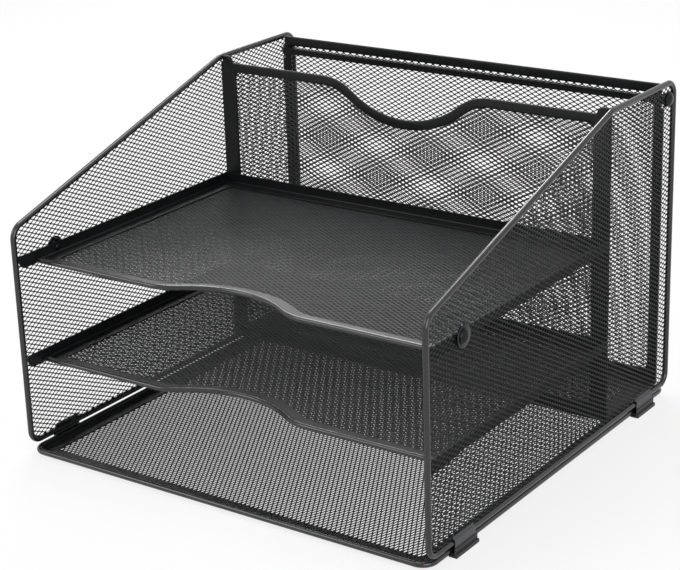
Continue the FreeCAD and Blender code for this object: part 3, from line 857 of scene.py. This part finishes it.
@dataclass
class SideFrame:
    """One side: a closed loop of bent rod round a panel of expanded metal."""

    side: Side
    metal: ExpandedMetal = ExpandedMetal()
    front_post_rise: float = 150.5
    rail_bend_setback: float = 222.0
    radii: tuple = (8.0, 8.0, 9.0, 18.0, 10.0)
    net_inset: float = 1.2

    def corners(self) -> list:
        """Sharp corners of the rod's centreline, front bottom first."""
        top = BOTTOM_RAIL_Z + RAIL_RISE
        return [
            (FRONT_Y, BOTTOM_RAIL_Z),
            (-FRONT_Y, BOTTOM_RAIL_Z),
            (-FRONT_Y, top),
            (FRONT_Y + self.rail_bend_setback, top),
            (FRONT_Y, BOTTOM_RAIL_Z + self.front_post_rise),
        ]

    def loop(self, inset: float) -> np.ndarray:
        """A line inside the rod's centreline by an inset."""
        return rounded_path(inset_corners(self.corners(), inset), [r - inset for r in self.radii])

    def build(self, maker: Maker) -> None:
        """Makes the rod and its net."""
        word = self.side.name.lower()
        rod = round_rod(self.loop(0), ROD_RADIUS, True)
        rod = rod.placed(Lie.FACING_RIGHT, FRAME_SPAN / 2).on_side(self.side)
        nodes = (word + "_side_rod",)
        maker.piece(word + "_rod", rod, maker.finishes.rod, Body.FRAME, nodes, ROUND_EDGE)
        maker.net(
            word + "_side_mesh",
            self.loop(self.net_inset),
            Lie.FACING_RIGHT,
            FRAME_SPAN / 2,
            side=self.side,
            metal=self.metal,
        )


@dataclass
class HemmedPanel:
    """Upright panel: expanded metal gripped in a border folded from sheet."""

    name: str
    place_y: float
    rise: float
    side_strip: float
    rim: float
    foot_strip: float
    scoop: Scoop | None = None
    hem_grip: float = 3.0
    hem_rounding: float = 0.8
    window_radius: float = 4.0
    gap: float = 0.3

    def window(self, lap: float = 0.0) -> np.ndarray:
        """The border's opening, or the outline of a net that laps into the border."""
        half = INNER_FACE_X - (self.side_strip - lap)
        low = BOTTOM_RAIL_Z + ROD_RADIUS + self.gap + (self.foot_strip - lap)
        top = BOTTOM_RAIL_Z + self.rise - (self.rim - lap)
        corners = box_corners(half, low, top)
        radii = [self.window_radius + lap] * 4
        if self.scoop:
            corners[3:3], radii[3:3] = self.scoop.path(top, -1, self.rim - lap)
        return rounded_path(corners, radii)

    def outer(self) -> np.ndarray:
        """The border's own outline."""
        raise NotImplementedError

    def build(self, maker: Maker) -> None:
        """Makes the border and the net."""
        border = plate(self.outer(), [self.window()], HEM, self.hem_rounding)
        border = border.placed(Lie.FACING_FRONT, -self.place_y)
        nodes = (self.name + "_frame",)
        maker.piece(self.name + "_border", border, maker.finishes.sheet, Body.FRAME, nodes)
        groove = self.window(self.hem_grip)
        maker.net(self.name + "_mesh", groove, Lie.FACING_FRONT, -self.place_y)


@dataclass
class Divider(HemmedPanel):
    """Upright panel behind the trays, with a finger scoop and an ear at each side rail.

    The small radii run up its right edge: the foot corner, the ear's root below and beside
    it, and the ear's outer corner.
    """

    name: str = "divider"
    place_y: float = DIVIDER_Y
    rise: float = RAIL_RISE - 3.3
    side_strip: float = 13.0
    rim: float = 6.8
    foot_strip: float = 10.0
    scoop: Scoop = Scoop(half_width=67.0, depth=23.5, shoulder=37.0)
    ear_width: float = 9.0
    ear_above_rail: float = 1.5
    ear_radius: float = 4.6
    ear_root_radius: float = 1.2
    small_radii: tuple = (1.0, 0.7, 0.4, 0.9)

    def outer(self) -> np.ndarray:
        """The outline with the two ears that rise to the side rails."""
        half = INNER_FACE_X
        end = FRAME_SPAN / 2 - ROD_RADIUS
        root = end - self.ear_width
        low = BOTTOM_RAIL_Z + ROD_RADIUS + self.gap
        top = BOTTOM_RAIL_Z + self.rise
        ear = BOTTOM_RAIL_Z + RAIL_RISE + self.ear_above_rail
        scoop, scoop_radii = self.scoop.path(top, -1)
        right = [(half, low), (half, top), (end, top), (end, ear), (root, ear), (root, top)]
        left = [(-x, z) for x, z in reversed(right)]
        radii = [*self.small_radii, self.ear_radius, self.ear_root_radius]
        return rounded_path(right + scoop + left, radii + scoop_radii + radii[::-1])


@dataclass
class BackPanel(HemmedPanel):
    """Rear panel, its top corners cut back for the side rails and the cross bar's tabs.

    The radii run up its right edge: the foot corner, the notch's two corners and the top.
    """

    name: str = "back"
    place_y: float = BACK_Y
    rise: float = 218.5
    side_strip: float = 7.4
    rim: float = 6.9
    foot_strip: float = 10.5
    tab_rise: float = 202.1
    radii: tuple = (1.2, 0.7, 0.4, 1.2)

    def outer(self) -> np.ndarray:
        """The outline with its notched top corners."""
        half = INNER_FACE_X
        narrow = FRAME_SPAN / 2 - ROD_RADIUS - self.gap
        low = BOTTOM_RAIL_Z + ROD_RADIUS + self.gap
        top = BOTTOM_RAIL_Z + self.rise
        notch = BOTTOM_RAIL_Z + self.tab_rise - self.gap
        right = [(half, low), (half, notch), (narrow, notch), (narrow, top)]
        left = [(-x, z) for x, z in reversed(right)]
        return rounded_path(right + left, [*self.radii, *self.radii[::-1]])


@dataclass
class LetterTray:
    """A letter tray: sheet border with upturned flanges, a front wire and a net floor."""

    name: str
    rise: float
    front_setback: float = 17.0
    side_border: float = 11.0
    front_border: float = 10.0
    rear_border: float = 10.0
    lap: float = 4.0
    window_radius: float = 4.0
    wire_radius: float = 1.75
    wire_drop: float = 0.05
    scoop: Scoop = Scoop(half_width=60.0, depth=18.0, shoulder=34.0)

    def floor(self) -> np.ndarray:
        """Outline of the net, which laps under the border."""
        half = INNER_FACE_X - (self.side_border - self.lap)
        front = self.front_border - self.lap
        edge = FRONT_Y + self.front_setback + front
        rear = DIVIDER_Y - HEM / 2 - (self.rear_border - self.lap)
        scoop, scoop_radii = self.scoop.path(edge, 1, front)
        corners = [(-half, rear), (-half, edge), *scoop, (half, edge), (half, rear)]
        ends = [self.window_radius + self.lap] * 2
        return rounded_path(corners, ends + scoop_radii + ends)

    def build(self, maker: Maker) -> None:
        """Makes the front wire and the net."""
        level = BOTTOM_RAIL_Z + self.rise
        edge = FRONT_Y + self.front_setback
        end = INNER_FACE_X - SHEET
        scoop, scoop_radii = self.scoop.path(edge, 1)
        line = rounded_path([(-end, edge), *scoop, (end, edge)], [0, *scoop_radii, 0], False)
        wire = round_rod(line, self.wire_radius, False)
        wire = wire.placed(Lie.LEVEL, level + self.wire_radius - self.wire_drop)
        nodes = (self.name + "_front_wire",)
        maker.piece(self.name + "_wire", wire, maker.finishes.rod, Body.FRAME, nodes, ROUND_EDGE)
        maker.net(self.name + "_mesh", self.floor(), Lie.LEVEL, level - NET_THICKNESS / 2)


@dataclass
class FileFloor:
    """Floor of the upright file compartment."""

    rise: float = 5.0
    border: float = 10.0
    lap: float = 4.0
    window_radius: float = 4.0

    def build(self, maker: Maker) -> None:
        """Makes the net."""
        inset = self.border - self.lap
        low, high = DIVIDER_Y + HEM / 2 + inset, BACK_Y - HEM / 2 - inset
        corners = box_corners(INNER_FACE_X - inset, low, high)
        outline = rounded_path(corners, [self.window_radius + self.lap] * 4)
        level = BOTTOM_RAIL_Z + self.rise
        maker.net("rear_floor_mesh", outline, Lie.LEVEL, level - NET_THICKNESS / 2)


@dataclass
class Drawer:
    """Shallow drawer: a rim wire, a dished pan and a net floor."""

    side_inset: float = 1.0
    end_inset: float = 0.2
    corner_radius: float = 9.0
    wire_radius: float = 1.9
    dish_depth: float = 2.4
    dish_taper: float = 2.4
    border: float = 7.0
    lap: float = 4.0
    window_radius: float = 4.0

    def corners(self, inset: float) -> list:
        """Corners of the rim's centreline, or of a line inside it."""
        half_width = FRAME_SPAN / 2 - self.side_inset - inset
        half_length = FRAME_DEPTH / 2 - self.end_inset - inset
        return box_corners(half_width, -half_length, half_length)

    def build(self, maker: Maker) -> None:
        """Makes the rim wire and the net."""
        line = rounded_path(self.corners(0), [self.corner_radius] * 4)
        rim = round_rod(line, self.wire_radius, True).placed(Lie.LEVEL, DRAWER_Z)
        nodes = ("drawer_rim_wire",)
        maker.piece("drawer_rim", rim, maker.finishes.rod, Body.DRAWER, nodes, ROUND_EDGE)
        inset = self.wire_radius + self.dish_taper + self.border - self.lap
        turned = [(y, -x) for x, y in self.corners(inset)]
        outline = rounded_path(turned, [self.window_radius + self.lap] * 4)
        level = DRAWER_Z - self.dish_depth - NET_THICKNESS / 2
        maker.net("drawer_mesh", outline, Lie.LEVEL_TURNED, level, Body.DRAWER)


@dataclass
class Fasteners:
    """Screws that tie the top tray and the cross bar to the side nets."""

    tray_y: float = FRONT_Y + 38.8
    tray_z: float = BOTTOM_RAIL_Z + TOP_TRAY_RISE + 3.9
    bar_y: float = FRONT_Y + 303.6
    bar_z: float = BOTTOM_RAIL_Z + 206.9
    head_radius: float = 5.2
    head_height: float = 2.6
    head_edge: float = 0.5
    head_rounding: float = 0.12
    dome_steps: int = 8
    shank_radius: float = 2.0
    shank_end: float = 0.8
    tip_length: float = 0.4
    tip_inset: float = 0.5
    washer_radius: float = 7.3
    washer_thickness: float = 1.2
    washer_clearance: float = 0.2
    washer_rounding: float = 0.3
    nut_thickness: float = 3.0
    nut_across_flats: float = 7.0
    nut_bore_radius: float = 2.05
    bore_steps: int = 24
    nut_rounding: float = 0.35
    axis_radius: float = 0.001
    smooth_angle: float = 35.0

    def screw(self, shank_length: float) -> Shape:
        """Domed screw along X with its head on the plane x = 0."""
        dome = self.head_height - self.head_edge
        radius = (self.head_radius**2 + dome**2) / (2 * dome)
        reach = math.asin(self.head_radius / radius)
        tip = -shank_length
        profile = [(self.head_height, self.axis_radius)]
        for k in range(1, self.dome_steps + 1):
            angle = reach * k / self.dome_steps
            sunk = radius * (1 - math.cos(angle))
            profile.append((self.head_height - sunk, radius * math.sin(angle)))
        profile += [(self.head_rounding, self.head_radius)]
        profile += [(0.0, self.head_radius - self.head_rounding), (0.0, self.shank_radius)]
        profile += [(tip + self.tip_length, self.shank_radius)]
        profile += [(tip, self.shank_radius - self.tip_inset), (tip, self.axis_radius)]
        return turned_profile(profile[::-1])

    def build(self, maker: Maker) -> None:
        """Makes the screws, washers and nuts of both sides."""
        hole = circle_path(self.shank_radius + self.washer_clearance)
        disc = circle_path(self.washer_radius)
        washer = plate(disc, [hole], self.washer_thickness, self.washer_rounding)
        hexagon = circle_path(self.nut_across_flats / 2 / math.cos(math.pi / 6), steps=6)
        bore = circle_path(self.nut_bore_radius, self.bore_steps)
        nut = plate(hexagon, [bore], self.nut_thickness, self.nut_rounding)
        inner = INNER_FACE_X - SHEET
        outer = OUTER_FACE_X + self.washer_thickness
        grip = NET_THICKNESS + SHEET + self.shank_end
        washer_x = outer - self.washer_thickness / 2
        nut_x = inner - self.nut_thickness / 2
        groups = (
            ("tray_screws", self.screw(self.washer_thickness + grip), outer, True),
            ("cross_bar_screws", self.screw(grip + self.nut_thickness), OUTER_FACE_X, False),
            ("tray_screw_washers", washer.placed(Lie.FACING_RIGHT, 0), washer_x, True),
            ("cross_bar_nuts", nut.placed(Lie.FACING_RIGHT, 0), nut_x, False),
        )
        plated = maker.finishes.plated
        for node, shape, x, on_tray in groups:
            y, z = (self.tray_y, self.tray_z) if on_tray else (self.bar_y, self.bar_z)
            right = shape.moved(x, y, z)
            pair = right.joined(right.on_side(Side.LEFT))
            maker.piece(node + "_turned", pair, plated, Body.FRAME, (node,), self.smooth_angle)


@dataclass
class SheetWork:
    """CAD nodes whose shape is kept, and the coat that each gets."""

    panels: tuple = (
        "back_cross_bar",
        "top_tray_frame",
        "middle_tray_frame",
        "rear_floor_frame",
        "drawer_pan",
    )
    corners: tuple = ("front_right", "rear_right", "front_left", "rear_left")

    def build(self, nodes: dict, finishes: Finishes) -> None:
        """Gives each kept node its coat.

        Args:
            nodes: the CAD nodes by name.
            finishes: the part's materials.
        """
        kept = [(name, finishes.sheet) for name in self.panels]
        kept += [(corner + "_clip", finishes.clip) for corner in self.corners]
        kept += [(corner + "_foot", finishes.rubber) for corner in self.corners]
        for name, coat in kept:
            mesh = nodes[name].data
            if mesh.materials:
                for i in range(len(mesh.materials)):
                    mesh.materials[i] = coat.material
            else:
                mesh.materials.append(coat.material)
            log.info("%s: dressed in %s", name, coat.material.name)


# Studio


@dataclass(frozen=True)
class Softbox:
    """One square softbox: its place, aim and side in metres, its power in watts."""

    name: str
    place: tuple
    aim: tuple
    side: float
    power: float

    def build(self) -> None:
        """Makes the lamp and turns it to its aim."""
        data = bpy.data.lights.new(self.name, "AREA")
        data.shape = "SQUARE"
        data.size = self.side
        data.energy = self.power
        holder = bpy.data.objects.new(self.name, data)
        holder.location = self.place
        look = Vector(self.aim) - Vector(self.place)
        holder.rotation_euler = look.to_track_quat("-Z", "Y").to_euler()
        bpy.context.scene.collection.objects.link(holder)


@dataclass
class Studio:
    """Pale floor, soft lamps and the camera at the photograph's angle."""

    azimuth: float = math.radians(35.51)
    elevation: float = math.radians(20.09)
    roll: float = math.radians(-1.83)
    place: tuple = (698.1, -992.8, 545.8)
    focal_pixels: float = 1918.2
    frame_width: float = 680.0
    sensor_width: float = 36.0
    clip_range: tuple = (0.05, 60.0)
    floor_size: float = 16.0
    floor_colour: str = "#f4f4f4"
    floor_glow: float = 0.80
    room_light: float = 0.45
    lamps: tuple = (
        Softbox("overhead_softbox", (-0.3, 0.25, 1.6), (0, 0, 0.1), 0.9, 12.0),
        Softbox("rear_softbox", (-0.95, 1.12, 1.2), (0, 0, 0.15), 0.5, 9.0),
        Softbox("left_softbox", (-1.1, -1.3, 1.1), (0, 0, 0.12), 0.9, 8.0),
        Softbox("right_softbox", (1.4, -0.9, 0.7), (0, 0, 0.12), 1.1, 12.0),
    )

    def camera(self) -> None:
        """Makes the camera and gives it to the scene."""
        sin_a, cos_a = math.sin(self.azimuth), math.cos(self.azimuth)
        sin_e, cos_e = math.sin(self.elevation), math.cos(self.elevation)
        ahead = Vector((-sin_a * cos_e, cos_a * cos_e, -sin_e))
        right = ahead.cross(Vector((0, 0, 1))).normalized()
        up = right.cross(ahead)
        cos_r, sin_r = math.cos(self.roll), math.sin(self.roll)
        turned_right = right * cos_r + up * sin_r
        turned_up = up * cos_r - right * sin_r
        data = bpy.data.cameras.new("photo_camera")
        data.sensor_fit = "HORIZONTAL"
        data.sensor_width = self.sensor_width
        data.lens = self.sensor_width * self.focal_pixels / self.frame_width
        data.clip_start, data.clip_end = self.clip_range
        holder = bpy.data.objects.new("photo_camera", data)
        columns = Matrix((turned_right, turned_up, -ahead)).transposed().to_4x4()
        holder.matrix_world = Matrix.Translation(Vector(self.place) * MM) @ columns
        bpy.context.scene.collection.objects.link(holder)
        bpy.context.scene.camera = holder

    def backdrop_ray(self, tree: bpy.types.NodeTree) -> bpy.types.NodeSocket:
        """1 for rays that show the backdrop: seen straight, mirrored or through glass."""
        ray = add_node(tree, "ShaderNodeLightPath", {})
        value = ray.outputs["Is Camera Ray"]
        for kind in ("Is Glossy Ray", "Is Transmission Ray"):
            inputs = {0: value, 1: ray.outputs[kind]}
            value = add_node(tree, "ShaderNodeMath", inputs, operation="MAXIMUM").outputs[0]
        return value

    def floor(self) -> None:
        """A broad pale floor that keeps the object's soft shadow."""
        half = self.floor_size / 2
        mesh = bpy.data.meshes.new("studio_floor")
        corners = [(x, y, 0) for x, y in box_corners(half, -half, half)]
        mesh.from_pydata(corners, [], [(0, 1, 2, 3)])
        material = empty_material("paper_sweep_matt")
        tree = material.node_tree
        paper = add_node(tree, "ShaderNodeBsdfDiffuse", {"Color": linear(self.floor_colour)})
        glow = add_node(tree, "ShaderNodeEmission", {"Color": WHITE, "Strength": 1.0})
        factors = {0: self.backdrop_ray(tree), 1: self.floor_glow}
        share = add_node(tree, "ShaderNodeMath", factors, operation="MULTIPLY")
        blend = {0: share.outputs[0], 1: paper.outputs[0], 2: glow.outputs[0]}
        mix = add_node(tree, "ShaderNodeMixShader", blend)
        add_node(tree, "ShaderNodeOutputMaterial", {"Surface": mix.outputs[0]})
        mesh.materials.append(material)
        floor = bpy.data.objects.new("studio_floor", mesh)
        bpy.context.scene.collection.objects.link(floor)

    def world(self) -> None:
        """Even white surroundings."""
        world = bpy.data.worlds.new("soft_room")
        world.use_nodes = True
        tree = world.node_tree
        tree.nodes.clear()
        levels = {"Value": self.backdrop_ray(tree), "To Min": self.room_light, "To Max": 1.0}
        strength = add_node(tree, "ShaderNodeMapRange", levels).outputs["Result"]
        sky = add_node(tree, "ShaderNodeBackground", {"Color": WHITE, "Strength": strength})
        add_node(tree, "ShaderNodeOutputWorld", {"Surface": sky.outputs[0]})
        bpy.context.scene.world = world

    def build(self) -> None:
        """Sets up the whole studio."""
        self.camera()
        self.floor()
        self.world()
        for lamp in self.lamps:
            lamp.build()
        bpy.context.scene.view_settings.view_transform = "Standard"


def main() -> None:
    """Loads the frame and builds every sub-assembly in order."""
    logging.basicConfig(level=logging.INFO, format="%(name)s %(message)s")
    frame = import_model()
    Studio().build()
    finishes = Finishes()
    maker = Maker(finishes)
    assemblies = (
        SideFrame(Side.RIGHT),
        SideFrame(Side.LEFT, ExpandedMetal(turn=LEFT_NET_TURN, lean=-NET_LEAN)),
        Divider(),
        BackPanel(),
        LetterTray("top_tray", TOP_TRAY_RISE),
        LetterTray("middle_tray", MIDDLE_TRAY_RISE),
        FileFloor(),
        Drawer(),
        Fasteners(),
    )
    for assembly in assemblies:
        assembly.build(maker)
    SheetWork().build(frame["nodes"], finishes)


if __name__ == "__main__":
    main()
